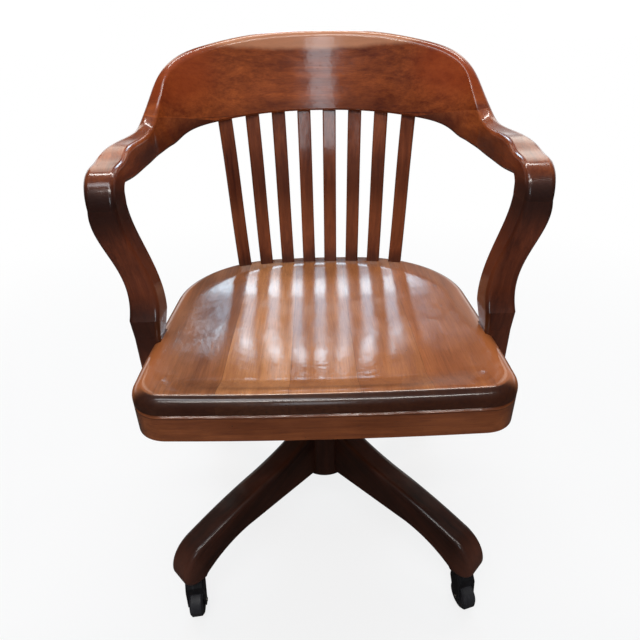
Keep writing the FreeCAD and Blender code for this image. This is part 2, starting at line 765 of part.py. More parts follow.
# Tension spring, its bolt, washer and knob, hanging from the iron through the yoke arm
spring_top = yoke_arm_top - dim.yoke_arm_thick
washer_top = spring_top - dim.spring_long
knob_top = washer_top - dim.washer_thick


def make_pins():
    pivot_long = dim.ear_gap + 2 * dim.ear_thick + 8
    for name, middle_y, radius, long in (
        ("pivot_pin", 0, dim.pivot_pin / 2, pivot_long),
        ("bolt_eye_pin", -dim.bolt_place, dim.eye_pin / 2, dim.eye_wide + 12),
    ):
        body = new_body(name)
        sketch = new_sketch(body, "YZ_Plane")
        circle_in(sketch, (middle_y, pivot_z), radius)
        feature(body, "Pad", sketch, long, midplane=True)


def make_tension_bolt():
    body = new_body("tension_bolt")
    eye = new_sketch(body, "YZ_Plane")
    circle_in(eye, (-dim.bolt_place, pivot_z), dim.bolt_eye)
    feature(body, "Pad", eye, dim.eye_wide, midplane=True)
    shank = new_sketch(body, height=pivot_z - dim.bolt_eye + 2)
    circle_in(shank, (0, -dim.bolt_place), dim.bolt_shank / 2)
    feature(body, "Pad", shank, pivot_z - dim.bolt_eye + 2 - knob_top + dim.knob_high - 4, reverse=True)
    bore = new_sketch(body, "YZ_Plane")
    circle_in(bore, (-dim.bolt_place, pivot_z), dim.eye_pin / 2 + dim.running_gap)
    cut_all(body, bore)
    return body


def ring(name, outer, inner, height, thick, middle_y=0):
    body = new_body(name)
    sketch = new_sketch(body, height=height)
    circle_in(sketch, (0, middle_y), outer)
    circle_in(sketch, (0, middle_y), inner)
    feature(body, "Pad", sketch, thick)
    return body


def make_knob():
    body = new_body("tension_knob")
    radius = dim.knob_wide / 2
    bottom = knob_top - dim.knob_high
    turned(
        body, (0, bottom), (radius - 3, bottom), (radius, bottom + 3), (radius, knob_top), (0, knob_top),
    )
    bore = new_sketch(body, height=bottom + 4)
    circle_in(bore, (0, 0), dim.bolt_shank / 2 + dim.running_gap)
    feature(body, "Pocket", bore, dim.knob_high, reverse=True)
    grip = new_sketch(body, height=bottom)
    circle_in(grip, (radius + 3, 0), 6)
    cut = cut_all(body, grip)
    polar(body, cut, 6)
    body.Placement.Base = Vector(0, -dim.bolt_place.value, 0)
    return body


def spring_shape():
    """Compression spring as one six-sided wire on biarcs, a quarter turn at a time."""
    wire, mean = dim.spring_wire.value, dim.spring_mean.value / 2
    turns = int(dim.spring_coils.value)
    low = washer_top.value + wire / 2
    climb = dim.spring_long.value - wire
    # The end turns lie nearly flat, as on a ground spring
    flat = 0.12

    def height(turn):
        share = turn / turns
        return low + climb * (share - flat * math.sin(2 * math.pi * share))

    def point(turn):
        angle = 2 * math.pi * turn
        return Vector(mean * math.cos(angle), mean * math.sin(angle) - dim.spring_place.value, height(turn))

    def heading(turn):
        step = 1e-4
        return (point(turn + step) - point(turn - step)).normalize()

    def arc_from(start, direction, end):
        chord = end - start
        across = chord - direction * chord.dot(direction)
        radius = chord.Length ** 2 / (2 * across.Length)
        centre = start + across.normalize() * radius
        middle = ((start - centre) + (end - centre)).normalize() * radius + centre
        return Part.Arc(start, middle, end).toShape()

    edges = []
    quarters = turns * 4
    for quarter in range(quarters):
        start, end = point(quarter / 4), point((quarter + 1) / 4)
        leave, arrive = heading(quarter / 4), heading((quarter + 1) / 4)
        across = end - start
        square = 2 * (1 - leave.dot(arrive))
        along = 2 * across.dot(leave + arrive)
        reach = (-along + math.sqrt(along ** 2 + 4 * square * across.Length ** 2)) / (2 * square)
        joint = (start + end + (leave - arrive) * reach) * 0.5
        edges.append(arc_from(start, leave, joint))
        turned_back = arc_from(end, arrive * -1, joint)
        edges.append(turned_back)
    path = Part.Wire(Part.__sortEdges__(edges))
    across = Vector(1, 0, 0)
    lift = heading(0).cross(across)
    corners = [math.radians(60 * k) for k in range(7)]
    profile = Part.makePolygon(
        [point(0) + (across * math.cos(a) + lift * math.sin(a)) * (wire / 2) for a in corners]
    )
    return path.makePipeShell([profile], True, False)


# Height adjustment: hand wheel on a thrust washer over the iron sleeve of the hub
flange_top = dim.hub_top + dim.flange_thick
wheel_bottom = flange_top + dim.thrust_thick


def make_height_wheel():
    body = new_body("height_wheel")
    bore, hub, rim = dim.screw_wide / 2 + dim.running_gap, dim.thrust_wide / 2 - 4, dim.wheel_wide / 2
    top, disc = wheel_bottom + dim.nut_high, wheel_bottom + dim.wheel_thick
    turned(
        body, (bore, wheel_bottom), (rim, wheel_bottom), (rim, disc - 2), (rim - 2, disc),
        (hub, disc), (hub - 3, top), (bore, top),
    )
    notch = new_sketch(body, height=wheel_bottom)
    circle_in(notch, (rim + 1, 0), dim.finger_notch)
    cut = cut_all(body, notch)
    polar(body, cut, 6)
    return body


def make_hub():
    body = new_body("hub")
    bore = dim.screw_wide / 2 + dim.running_gap + dim.sleeve_wall
    radius, bottom, top = dim.hub_wide / 2, dim.hub_bottom, dim.hub_top
    turned(
        body, (bore, bottom), (radius - 14, bottom), (radius - 5, bottom + 3), (radius, bottom + 10),
        (radius, top - 20), (radius - 14, top), (bore, top),
    )
    flat = new_sketch(body, height=dim.leg_root_bottom)
    reach = dim.hub_flat
    rectangle(flat, (reach, -dim.leg_thick), (reach + 20, dim.leg_thick))
    cut = feature(body, "Pocket", flat, dim.hub_top - dim.leg_root_bottom + 5, reverse=True)
    polar(body, cut, 4)
    body.Placement.Rotation = FreeCAD.Rotation(Vector(0, 0, 1), 45)
    return body


def make_sleeve():
    body = new_body("hub_sleeve")
    bore = dim.screw_wide / 2 + dim.running_gap
    outer, flange = bore + dim.sleeve_wall, dim.flange_wide / 2
    turned(
        body, (bore, dim.hub_bottom), (outer, dim.hub_bottom), (outer, dim.hub_top),
        (flange, dim.hub_top), (flange, flange_top), (bore, flange_top),
    )
    return body


# Legs: sawn to an S profile, rounded along their upper edges, with a socket bored in the toe
def make_leg(name, heading):
    body = new_body(name)
    root, top, low = dim.hub_flat, dim.leg_root_top, dim.leg_root_bottom
    reach, toe = dim.leg_reach, dim.toe_bottom
    profile = new_sketch(body, "XZ_Plane")
    outline(
        profile, (root, low), (reach - 124, low - 4), (dim.toe_inner, toe + 6, 160, -1),
        (dim.toe_inner + 4, toe), (dim.toe_outer, toe), (reach, toe + 27, 24, 1),
        (reach - 41, toe + 73, 54, 1), (reach - 172, low + 62, 800, 1), (root, top, 480, -1),
        (root, low),
    )
    feature(body, "Pad", profile, dim.leg_thick, midplane=True)
    half = dim.leg_thick.value / 2

    def upper_edge(edge):
        box = edge.BoundBox
        on_side = abs(abs(box.YMin) - half) < 0.1 and box.YLength < 0.1
        return on_side and box.ZMin > toe.value - 0.1 and box.XLength > 3 and box.XMax > reach.value - 171

    ease_edges(body, upper_edge, dim.leg_edge_round)
    bore = new_sketch(body, height=toe)
    circle_in(bore, (dim.caster_reach, 0), stem_bore + dim.socket_wall)
    feature(body, "Pocket", bore, dim.stem_long, reverse=True)
    body.Placement.Rotation = FreeCAD.Rotation(Vector(0, 0, 1), heading)
    return body


# Casters: fork with its stem, axle and wheel, turned about the stem in the toe of each leg
def caster_place(leg_heading, trail_heading):
    """Placement that carries a caster, drawn at the origin and trailing along Y, to its leg."""
    angle = math.radians(leg_heading)
    reach = dim.caster_reach.value
    base = Vector(reach * math.cos(angle), reach * math.sin(angle), 0)
    return FreeCAD.Placement(base, FreeCAD.Rotation(Vector(0, 0, 1), trail_heading))


def make_caster_fork(name, place):
    body = new_body(name)
    crown_top = dim.toe_bottom - dim.face_gap
    axle_z, trail, cheek = dim.wheel_size / 2, dim.caster_trail, 8
    wide = dim.wheel_tread + 2 * (dim.fork_gap + dim.fork_thick)
    side_view = new_sketch(body, "YZ_Plane")
    outline(
        side_view, (-11, crown_top - 4), (-7, crown_top, 4, -1), (9, crown_top),
        (trail + 4, crown_top - 12), (trail + cheek, axle_z), (trail, axle_z - cheek, cheek, -1),
        (trail - cheek, axle_z, cheek, -1), (-11, crown_top - 16), (-11, crown_top - 4),
    )
    feature(body, "Pad", side_view, wide, midplane=True)
    crown_edge = lambda e: e.BoundBox.XLength < 0.01 and e.BoundBox.ZMin > crown_top.value - 17
    ease_edges(body, crown_edge, 3, "Chamfer")
    slot = new_sketch(body, "YZ_Plane")
    circle_in(slot, (trail, axle_z), dim.wheel_size / 2 + 2)
    feature(body, "Pocket", slot, dim.wheel_tread + 2 * dim.fork_gap, midplane=True)
    stem = new_sketch(body, height=crown_top - 1)
    circle_in(stem, (0, 0), dim.stem_wide / 2)
    feature(body, "Pad", stem, dim.stem_long - 2)
    bore = new_sketch(body, "YZ_Plane")
    circle_in(bore, (trail, axle_z), dim.caster_axle / 2)
    cut_all(body, bore)
    body.Placement = place
    return body


def make_caster_axle(name, place):
    body = new_body(name)
    sketch = new_sketch(body, "YZ_Plane")
    circle_in(sketch, (dim.caster_trail, dim.wheel_size / 2), dim.caster_axle / 2)
    feature(
        body, "Pad", sketch, dim.wheel_tread + 2 * (dim.fork_gap + dim.fork_thick) + 3, midplane=True
    )
    body.Placement = place
    return body


def make_caster_wheel(name, place):
    """Wheel turned about its own Z axis, then laid over onto the axle."""
    body = new_body(name)
    radius, half = dim.wheel_size / 2, dim.wheel_tread / 2
    bore = dim.caster_axle / 2 + dim.running_gap
    turned(
        body, (bore, -half), (radius - 3, -half), (radius, -half + 3), (radius, half - 3),
        (radius - 3, half), (bore, half),
    )
    lay_over = FreeCAD.Rotation(Vector(0, 1, 0), 90)
    axle = Vector(0, dim.caster_trail.value, dim.wheel_size.value / 2)
    body.Placement = place.multiply(FreeCAD.Placement(axle, lay_over))
    return body


def make_caster_sockets(headings):
    inner, low, deep = stem_bore.value, dim.toe_bottom.value, dim.stem_long.value
    sockets = []
    for heading in headings:
        foot = caster_place(heading, 0).Base + Vector(0, 0, low)
        neck = Part.makeCylinder(inner + dim.socket_wall.value, deep, foot)
        sockets.append(neck.cut(Part.makeCylinder(inner, deep, foot)))
    return plain_feature("caster_sockets", Part.makeCompound(sockets))


# Assembly: each leg with its heading and the way its caster trails
LEGS = (
    ("front_left", -135, 187), ("front_right", -45, 196), ("rear_right", 45, -20), ("rear_left", 135, 35)
)
headings = [heading for _, heading, _ in LEGS]

slats = compound("slats", [make_slat(index) for index in range(8)])
notches = post_notches()

seat = combine("Cut", "whole_seat", make_seat(), compound("let_in", [notches, slats]), finished=False)
# The boxes that part the seat and the skirt reach clear of them on every side
side_reach, front_reach, rear_reach = seat_half + 20, dim.seat_front + 20, dim.seat_rear + 20
joints = (
    -side_reach, dim.board_joint_1, dim.board_joint_2, dim.board_joint_3, dim.board_joint_4,
    side_reach,
)
for index, (low, high) in enumerate(zip(joints, joints[1:]), 1):
    room = box_between(
        f"board_room_{index}", (low, -front_reach, seat_under - 5), (high, rear_reach, dim.seat_top + 5)
    )
    combine("Common", f"seat_board_{index}", seat, room)

frame = combine("Cut", "whole_skirt", make_skirt(), notches, finished=False)
low_z, high_z = skirt_bottom - 5, seat_under + 5
front_end, rear_start = -dim.front_rail_end, dim.rear_rail_start
for name, low, high in (
    ("skirt_front_rail", (-side_reach, -front_reach, low_z), (side_reach, front_end, high_z)),
    ("skirt_rear_rail", (-side_reach, rear_start, low_z), (side_reach, rear_reach, high_z)),
    ("skirt_left_rail", (-side_reach, front_end, low_z), (0, rear_start, high_z)),
    ("skirt_right_rail", (0, front_end, low_z), (side_reach, rear_start, high_z)),
):
    combine("Common", name, frame, box_between(name + "_room", low, high))

for name, middle in (("front_batten", -dim.batten_place), ("rear_batten", dim.batten_place)):
    half_long, half_wide = dim.batten_long / 2, dim.batten_wide / 2
    low = (-half_long, middle - half_wide, batten_bottom)
    made[name] = box_between(name, low, (half_long, middle + half_wide, seat_under))

solid_bow = doc.addObject("Part::Feature", "solid_bow")
solid_bow.Shape = bow_solid()
# The outermost slats stand in both the crest rail and the arms, so the bow is mortised whole
bow = combine("Cut", "bow", solid_bow, slats, finished=False)
below_glue = []
for side, name in ((-1, "left_arm"), (1, "right_arm")):
    # The glue joint rises a little towards the arm
    under = doc.addObject("Part::Box", name + "_room")
    under.Length, under.Width, under.Height = 440, 900, 300
    corner = FreeCAD.Placement(Vector(-40 if side > 0 else -400, -450, -300), FreeCAD.Rotation())
    start = Vector(side * glue_start.value, 0, glue_line.value)
    slope = FreeCAD.Rotation(Vector(0, 1, 0), -side * dim.glue_slope.value)
    under.Placement = FreeCAD.Placement(start, slope).multiply(corner)
    below_glue.append(under)
    combine("Common", name, bow, under)
    make_post(name + "_post", side)
combine("Cut", "crest_rail", bow, compound("crest_cuts", below_glue))

make_seat_iron()
make_yoke()
make_height_screw()
make_pins()
make_tension_bolt()
bolt_bore = dim.bolt_shank / 2 + dim.face_gap
ring("spring_washer", dim.washer_wide / 2, bolt_bore, knob_top, dim.washer_thick, -dim.bolt_place)
make_knob()
plain_feature("tilt_spring", spring_shape())
screw_way = dim.screw_wide / 2 + dim.face_gap
ring("thrust_washer", dim.thrust_wide / 2, screw_way, flange_top, dim.thrust_thick)
make_height_wheel()
make_hub()
make_sleeve()
make_caster_sockets(headings)
for name, heading, trail in LEGS:
    make_leg(name + "_leg", heading)
    place = caster_place(heading, trail)
    make_caster_fork(name + "_caster_fork", place)
    make_caster_axle(name + "_caster_axle", place)
    make_caster_wheel(name + "_caster_wheel", place)


# Check every object, then write each sub-part to its own file
doc.recompute()
for item in doc.Objects:
    if "Invalid" in item.State or "Error" in item.State:
        raise RuntimeError(f"{item.Name} failed: {item.State}")
for name, piece in made.items():
    if piece.Shape.isNull() or not piece.Shape.isValid() or not piece.Shape.Solids:
        raise RuntimeError(f"{name} has no valid solid")
os.makedirs("parts", exist_ok=True)
for name, piece in made.items():
    piece.Shape.exportStep(os.path.join("parts", name + ".step"))
    print(name, len(piece.Shape.Solids), "solids", len(piece.Shape.Faces), "faces")
print(len(made), "sub-parts")
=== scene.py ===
import math

import bmesh
import bpy
from mathutils import Matrix, Vector


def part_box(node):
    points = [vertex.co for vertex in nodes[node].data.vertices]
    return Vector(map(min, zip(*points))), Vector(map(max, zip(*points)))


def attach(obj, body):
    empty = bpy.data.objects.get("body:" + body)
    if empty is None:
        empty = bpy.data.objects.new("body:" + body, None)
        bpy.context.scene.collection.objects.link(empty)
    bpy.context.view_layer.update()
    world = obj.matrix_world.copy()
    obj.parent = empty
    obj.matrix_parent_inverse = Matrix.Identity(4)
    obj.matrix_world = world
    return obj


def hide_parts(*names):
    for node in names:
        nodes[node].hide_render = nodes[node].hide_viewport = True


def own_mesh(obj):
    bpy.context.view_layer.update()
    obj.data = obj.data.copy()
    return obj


# Looks of the bankers swivel chair, in metres. The sitter faces -Y and the swivel axis is Z.

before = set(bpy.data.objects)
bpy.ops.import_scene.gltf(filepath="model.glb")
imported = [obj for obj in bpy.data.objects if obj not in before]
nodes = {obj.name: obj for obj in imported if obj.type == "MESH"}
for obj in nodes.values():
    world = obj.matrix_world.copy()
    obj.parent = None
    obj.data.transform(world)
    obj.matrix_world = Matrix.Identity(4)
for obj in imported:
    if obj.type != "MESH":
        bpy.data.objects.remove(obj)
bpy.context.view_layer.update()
scene = bpy.context.scene

ALONG_X, ALONG_Y, ALONG_Z = (1, 0, 0), (0, 1, 0), (0, 0, 1)
SIDES = ((-1, "left"), (1, "right"))
CORNERS = (("front_left", -1, -1), ("front_right", 1, -1), ("rear_right", 1, 1), ("rear_left", -1, 1))
SLATS = 8


# Colours
def colour(red, green, blue):
    """Linear colour from screen values of 0 to 255."""
    def linear(value):
        share = value / 255
        return share / 12.92 if share <= 0.04045 else ((share + 0.055) / 1.055) ** 2.4
    return (linear(red), linear(green), linear(blue), 1.0)


def grey(level, warm):
    """Multiplier for a colour: a grey level, with less green and blue where it is warm."""
    return (level, level * (1 - warm), level * (1 - 1.3 * warm), 1)


def scaled(shade, factor):
    """A colour made lighter or darker."""
    return tuple(factor * channel for channel in shade[:3]) + (1,)


# Dark and light shade of each wood, as the photograph's plain daylight shows them
CREST = (colour(98, 36, 10), colour(168, 84, 34))
ARM = (colour(108, 42, 16), colour(168, 88, 42))
POST = (colour(58, 20, 8), colour(112, 52, 24))
SLAT = (colour(80, 30, 12), colour(146, 76, 40))
SKIRT = (colour(88, 40, 15), colour(138, 76, 36))
BATTEN = (colour(96, 58, 30), colour(140, 92, 52))
# The legs' and hub's shades are partly painted shade: darker, for the shade under the seat
LEG = (colour(24, 11, 7), colour(60, 28, 15))
BOARDS = (
    (colour(112, 62, 34), colour(168, 108, 66)),
    (colour(158, 98, 56), colour(208, 146, 94)),
    (colour(148, 90, 50), colour(192, 128, 78)),
    (colour(142, 82, 44), colour(184, 118, 68)),
    (colour(136, 74, 38), colour(178, 108, 60)),
)

# Shades of wear and dirt on the wood, and of painted shade and painted light
# Patina on the knuckles, also used as painted shade on the posts' lower fronts and on the slats
PATINA_AND_SHADE = colour(32, 13, 9)
# Painted shade, put where shade falls under and between parts
PAINTED_SHADE = colour(58, 20, 8)
RUBBED = colour(172, 98, 52)
ROLL = colour(40, 14, 7)
DULL = colour(92, 54, 44)
CREST_END_LEFT = colour(150, 58, 16)
CREST_END_RIGHT = colour(152, 58, 14)
# Painted highlight on the crest's top edge
CREST_TOP_PAINTED_HIGHLIGHT = colour(206, 144, 108)
POST_WAIST = colour(118, 58, 30)
# Painted light on the slats' lower parts
SLAT_LOW_PAINTED_LIGHT = colour(152, 84, 48)
# Painted light on the legs' upper parts
LEG_TOP_PAINTED_LIGHT = colour(118, 52, 24)
LEG_END = colour(92, 52, 38)
PORE = colour(38, 15, 9)
JOINT = colour(34, 14, 9)
DENT = colour(26, 12, 9)
RUST = colour(92, 48, 28)


# Materials
class Recipe:
    """The node tree of a material or world, whose nodes are added one after the other."""

    def __init__(self, owner):
        owner.use_nodes = True
        self.owner = owner
        self.tree = owner.node_tree
        self.tree.nodes.clear()
        coordinates = self.add("ShaderNodeTexCoord")
        self.place = coordinates.outputs["Object"]
        self.way = coordinates.outputs["Generated"]

    def add(self, kind, inputs=None, **settings):
        node = self.tree.nodes.new(kind)
        for name, value in settings.items():
            setattr(node, name, value)
        for key, value in (inputs or {}).items():
            socket = node.inputs[key]
            if isinstance(value, bpy.types.NodeSocket):
                self.tree.links.new(value, socket)
            else:
                socket.default_value = value
        return node

    def maths(self, operation, first, second=0.0, third=0.0):
        node = self.add("ShaderNodeMath", {0: first, 1: second, 2: third}, operation=operation)
        return node.outputs[0]

    def plus(self, first, second):
        return self.maths("ADD", first, second)

    def minus(self, first, second):
        return self.maths("SUBTRACT", first, second)

    def times(self, first, second):
        return self.maths("MULTIPLY", first, second)

    def vector(self, operation, first, second=(0, 0, 0)):
        node = self.add("ShaderNodeVectorMath", {0: first, 1: second}, operation=operation)
        return node.outputs["Value" if operation in ("LENGTH", "DOT_PRODUCT") else "Vector"]

    def parts(self, vector):
        """The three numbers of a vector, by axis name or number."""
        return self.add("ShaderNodeSeparateXYZ", {0: vector}).outputs

    def normal(self):
        return self.add("ShaderNodeNewGeometry").outputs["Normal"]

    def span(self, value, low, high, start=0.0, end=1.0, smooth=True):
        """Value from low to high, carried over to start to end and held there."""
        node = self.add(
            "ShaderNodeMapRange",
            {"Value": value, "From Min": low, "From Max": high, "To Min": start, "To Max": end},
            interpolation_type="SMOOTHSTEP" if smooth else "LINEAR",
        )
        return node.outputs["Result"]

    def noise(self, place, scale=1.0, detail=3.0, rough=0.55):
        node = self.add(
            "ShaderNodeTexNoise",
            {"Vector": place, "Scale": scale, "Detail": detail, "Roughness": rough},
        )
        return node.outputs["Fac"]

    def stretched(self, place, cycles, detail, rough=0.55):
        """Noise with its own number of cycles a metre along each axis."""
        return self.noise(self.vector("MULTIPLY", place, cycles), detail=detail, rough=rough)

    def mix(self, share, first, second, blend="MIX"):
        node = self.add(
            "ShaderNodeMix", {0: share, 6: first, 7: second}, data_type="RGBA", blend_type=blend
        )
        return node.outputs[2]

    def ramp(self, value, *stops):
        node = self.add("ShaderNodeValToRGB", {0: value})
        for element, (position, shade) in zip(node.color_ramp.elements, stops):
            element.position = position
            element.color = shade
        return node.outputs["Color"]

    def mottled(self, shade, pattern, *stops):
        """Shade multiplied by the greys that a pattern picks between two stops."""
        return self.mix(1.0, shade, self.ramp(pattern, *stops), "MULTIPLY")

    def bump(self, height, distance):
        inputs = {"Height": height, "Distance": distance, "Strength": 1.0}
        return self.add("ShaderNodeBump", inputs).outputs["Normal"]

    def edge(self, width, low, high):
        """Share from 0 on open faces to 1 along sharp edges, within width of them."""
        rounded = self.add("ShaderNodeBevel", {"Radius": width}, samples=4).outputs["Normal"]
        return self.span(self.vector("DOT_PRODUCT", rounded, self.normal()), high, low)

    def spot(self, centre, reach, soft, wander):
        """Share of 1 inside an ellipsoid round centre, falling to 0 at its wandering border."""
        away = self.vector("SUBTRACT", self.place, centre)
        away = self.vector("LENGTH", self.vector("MULTIPLY", away, tuple(1 / r for r in reach)))
        away = self.maths("MULTIPLY_ADD", wander, 0.7, self.minus(away, 0.35))
        return self.span(away, 1 - soft, 1 + soft, 1.0, 0.0)

    def ray_kinds(self):
        """Shares that are 1 for camera rays, and 1 for mirrored or transmitted rays."""
        path = self.add("ShaderNodeLightPath").outputs
        return path["Is Camera Ray"], self.maths(
            "MAXIMUM", path["Is Glossy Ray"], path["Is Transmission Ray"]
        )

    def shader(self, values, **links):
        """Finish with one Principled shader; a link's name has _ for each space."""
        node = self.add("ShaderNodeBsdfPrincipled", values)
        for name, socket in links.items():
            self.tree.links.new(socket, node.inputs[name.replace("_", " ")])
        output = self.add("ShaderNodeOutputMaterial")
        self.tree.links.new(node.outputs[0], output.inputs["Surface"])
        return self.owner


# Cycles a metre of the wood's patterns, along the grain and twice across it
SWAY = (3.0, 9.0, 9.0)
BANDS = (2.2, 34.0, 34.0)
THREADS = (6.0, 190.0, 190.0)
FIBRES = (26.0, 620.0, 620.0)
PORES = (95.0, 1300.0, 1300.0)
SWAY_Y, SWAY_Z = 0.022, 0.018
WOOD_RELIEF, COAT_RELIEF = 0.00012, 0.00006
WORN_EDGE = 0.003


def grain_place(r, along, seed):
    """Places turned so that the grain runs along X, shifted for each piece of wood."""
    turn = Vector(along).normalized().rotation_difference(Vector(ALONG_X)).to_euler()
    turned = r.add(
        "ShaderNodeVectorRotate", {"Vector": r.place, "Rotation": turn}, rotation_type="EULER_XYZ"
    ).outputs[0]
    return r.vector("ADD", turned, (seed * 3.17, seed * 1.31, seed * 0.73))


def rolled_share(r, wander, start):
    """Share of 1 on tilted faces in front of start, and the share of varnish left by their tilt."""
    face = r.parts(r.normal())["Z"]
    varnish = r.span(face, 0.42, 0.66, 0.2, 1.0)
    ahead = r.span(r.parts(r.place)["Y"], start - 0.02, start, 1.0, 0.0)
    tilted = r.maths("MULTIPLY_ADD", wander, 0.10, r.minus(face, 0.05))
    return r.times(r.span(tilted, 0.93, 0.985, 1.0, 0.0), ahead), varnish


def wood(
    name, along, dark, light, seed, stains=(), pits=0.0, lines=(), coat=0.09, worn=0.5, figure=1.0,
    roll=None, gloss=1.0,
):
    """Varnished wood with its grain along one direction.

    Stains are (centre, reach, softness, shade, share); lines are (axis, place, half width).
    Pits is the share of dirt in dents, coat the varnish's roughness, and figure the grain's contrast.
    A roll (y, shade) darkens the rounded faces in front of y that tilt down from the top, with the
    varnish worn off where they are steep.
    """
    r = Recipe(bpy.data.materials.new(name))
    grain = grain_place(r, along, seed)
    sway = r.stretched(grain, SWAY, 2.0)
    shift = r.add("ShaderNodeCombineXYZ", {"Y": r.times(sway, SWAY_Y), "Z": r.times(sway, SWAY_Z)})
    swayed = r.vector("ADD", grain, shift.outputs[0])
    bands = r.stretched(swayed, BANDS, 4.0, 0.62)
    threads = r.stretched(swayed, THREADS, 4.0, 0.68)
    fibres = r.stretched(swayed, FIBRES, 3.0, 0.7)
    pores = r.span(r.stretched(grain, PORES, 1.0, 0.5), 0.66, 0.78)
    cloud = r.noise(r.place, scale=7.0, detail=5.0, rough=0.62)
    smear = r.noise(r.vector("ADD", r.place, (seed, 0, 0)), scale=19.0, detail=4.0, rough=0.6)
    wander = r.plus(r.times(cloud, 0.6), r.times(smear, 0.4))

    # Grain, then the unevenness of age
    tone = r.plus(r.times(bands, 0.58), r.times(threads, 0.42))
    half = 0.17 / figure
    shade = r.ramp(tone, (0.5 - half, dark), (0.5 + half, light))
    dim, bright = 1 - 0.24 * figure, 1 + 0.13 * figure
    shade = r.mottled(shade, fibres, (0.28, grey(dim, 0.05)), (0.74, grey(bright, 0)))
    shade = r.mottled(shade, cloud, (0.28, grey(0.80, 0.04)), (0.72, grey(1.12, 0)))
    shade = r.mottled(shade, smear, (0.30, grey(0.88, 0.03)), (0.70, grey(1.08, 0)))
    shade = r.mix(r.times(pores, 0.45), shade, PORE)

    # Rubbed edges, stains and patina, and the painted shade and painted light that are given as stains
    edge = r.times(r.edge(WORN_EDGE, 0.82, 0.985), r.span(smear, 0.40, 0.62))
    rubbed = tuple(min(1, 1.35 * channel) for channel in light)
    shade = r.mix(r.times(edge, worn), shade, rubbed)
    for centre, reach, soft, stain, share in stains:
        inside = r.spot(centre, reach, soft, wander)
        streaked = r.span(threads, 0.2, 0.8, share * 0.86, share, False)
        shade = r.mix(r.times(inside, streaked), shade, stain)
    worn_varnish = {}
    if roll:
        start, roll_shade = roll
        rolled, varnish = rolled_share(r, wander, start)
        worn_varnish["Coat_Weight"] = varnish
        streaked = r.span(threads, 0.2, 0.8, 0.88, 1.0, False)
        shade = r.mix(r.times(rolled, streaked), shade, roll_shade)

    # Glue lines and dents
    for axis, at, half_width in lines:
        away = r.maths("ABSOLUTE", r.minus(r.parts(r.place)[axis], at))
        shade = r.mix(r.span(away, half_width * 0.4, half_width, 0.7, 0.0), shade, JOINT)
    fine = r.minus(r.times(fibres, 0.55), r.times(pores, 0.45))
    if pits:
        cells = r.add("ShaderNodeTexVoronoi", {"Vector": r.place, "Scale": 70.0, "Randomness": 1.0})
        lonely = r.span(r.noise(r.place, scale=9.0, detail=2.0), 0.50, 0.62)
        dents = r.times(r.span(cells.outputs["Distance"], 0.035, 0.080, 1.0, 0.0), lonely)
        shade = r.mix(r.times(dents, pits), shade, DENT)
        fine = r.minus(fine, r.times(dents, 2.5))

    # Wood under a varnish that has a relief of its own
    rough = r.plus(r.span(cloud, 0.3, 0.7, 0.32, 0.48), r.times(pores, 0.2))
    ripple = r.noise(r.place, scale=42.0, detail=2.0)
    return r.shader(
        {"Coat Weight": gloss, "Coat IOR": 1.5, "IOR": 1.45, "Specular IOR Level": 0.25},
        Base_Color=shade,
        Roughness=rough,
        Normal=r.bump(fine, WOOD_RELIEF),
        Coat_Normal=r.bump(r.plus(fine, r.times(ripple, 4.0)), COAT_RELIEF),
        Coat_Roughness=r.span(smear, 0.35, 0.70, coat * 0.7, coat * 1.6),
        **worn_varnish,
    )


# Cycles a metre of the scratches, and the width of the bright edges
SCUFFS = (900.0, 140.0, 60.0)
BRIGHT_EDGE = 0.0012


def metal(name, base, bright, metallic, rough, grit, worn, rust=0.0):
    """Painted or bare metal: mottled, scuffed, brighter at its edges, and rusty in spots.

    Rough is the lowest and highest roughness, grit the height of its relief.
    """
    r = Recipe(bpy.data.materials.new(name))
    cloud = r.noise(r.place, scale=38.0, detail=6.0, rough=0.65)
    speck = r.noise(r.place, scale=420.0, detail=3.0, rough=0.6)
    scuff = r.stretched(r.place, SCUFFS, 2.0)
    shade = r.ramp(cloud, (0.30, scaled(base, 0.7)), (0.72, scaled(base, 1.25)))
    shade = r.mix(r.times(r.span(scuff, 0.60, 0.72), 0.35), shade, bright)
    if rust:
        spots = r.span(r.noise(r.place, scale=90.0, detail=5.0, rough=0.7), 0.56, 0.70)
        shade = r.mix(r.times(spots, rust), shade, RUST)
    edge = r.times(r.edge(BRIGHT_EDGE, 0.72, 0.97), r.span(cloud, 0.36, 0.55))
    shade = r.mix(r.times(edge, worn), shade, bright)
    return r.shader(
        {"Metallic": metallic, "IOR": 1.5},
        Base_Color=shade,
        Roughness=r.plus(r.span(cloud, 0.3, 0.7, *rough), r.times(speck, 0.08)),
        Normal=r.bump(r.plus(r.times(speck, 0.6), cloud), grit),
    )


def dress(node, material):
    """Give a CAD node one material on every slot."""
    for slot in nodes[node].material_slots:
        slot.material = material


